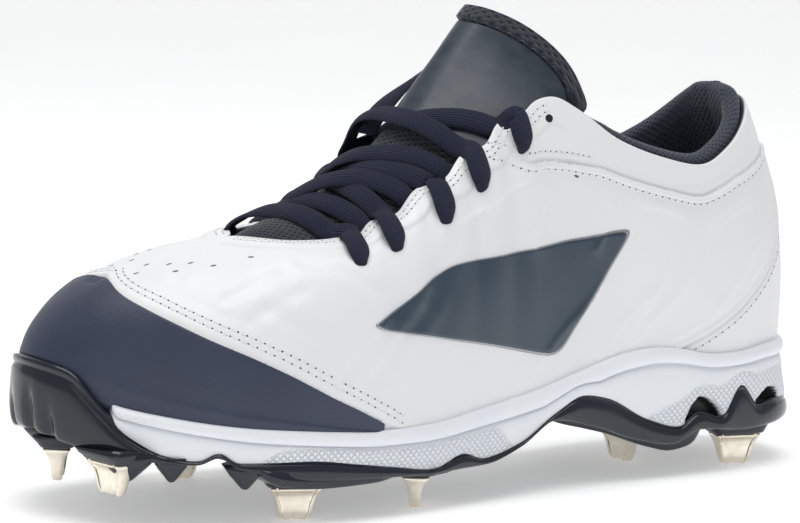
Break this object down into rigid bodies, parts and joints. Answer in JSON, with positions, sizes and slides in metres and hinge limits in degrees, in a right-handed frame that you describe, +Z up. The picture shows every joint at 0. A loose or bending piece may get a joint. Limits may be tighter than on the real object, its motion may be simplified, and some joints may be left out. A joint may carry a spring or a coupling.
{
  "type": "baseball cleat",
  "caption": "Low baseball shoe with a moulded upper, toe guard, foam midsole and plate outsole on flat metal spikes.",
  "frame": {"origin": "on the floor, under the middle of the sole", "axes": "+X from toe to heel, -Y to the outer side of the foot, +Z up"},
  "size_m": [0.291, 0.0987, 0.1572],
  "materials": {
    "plate_plastic": "gloss",
    "foam": "satin foam",
    "upper_synthetic": "smooth synthetic leather",
    "insole_board": "matte",
    "guard_rubber": "matte",
    "mesh_fabric": "padded mesh",
    "label_film": "gloss",
    "lace_fabric": "woven",
    "spike_steel": "polished"
  },
  "bodies": {
    "root": {"outsole": "plate_plastic", "midsole": "foam", "upper": "upper_synthetic", "insole": "insole_board", "toe_guard": "guard_rubber", "collar_lining": "mesh_fabric", "tongue": "mesh_fabric", "tongue_label": "label_film", "laces": "lace_fabric", "spike_1": "spike_steel", "spike_2": "spike_steel", "spike_3": "spike_steel", "spike_4": "spike_steel", "spike_5": "spike_steel", "spike_6": "spike_steel", "spike_7": "spike_steel", "spike_8": "spike_steel", "spike_9": "spike_steel"}
  },
  "joints": []
}
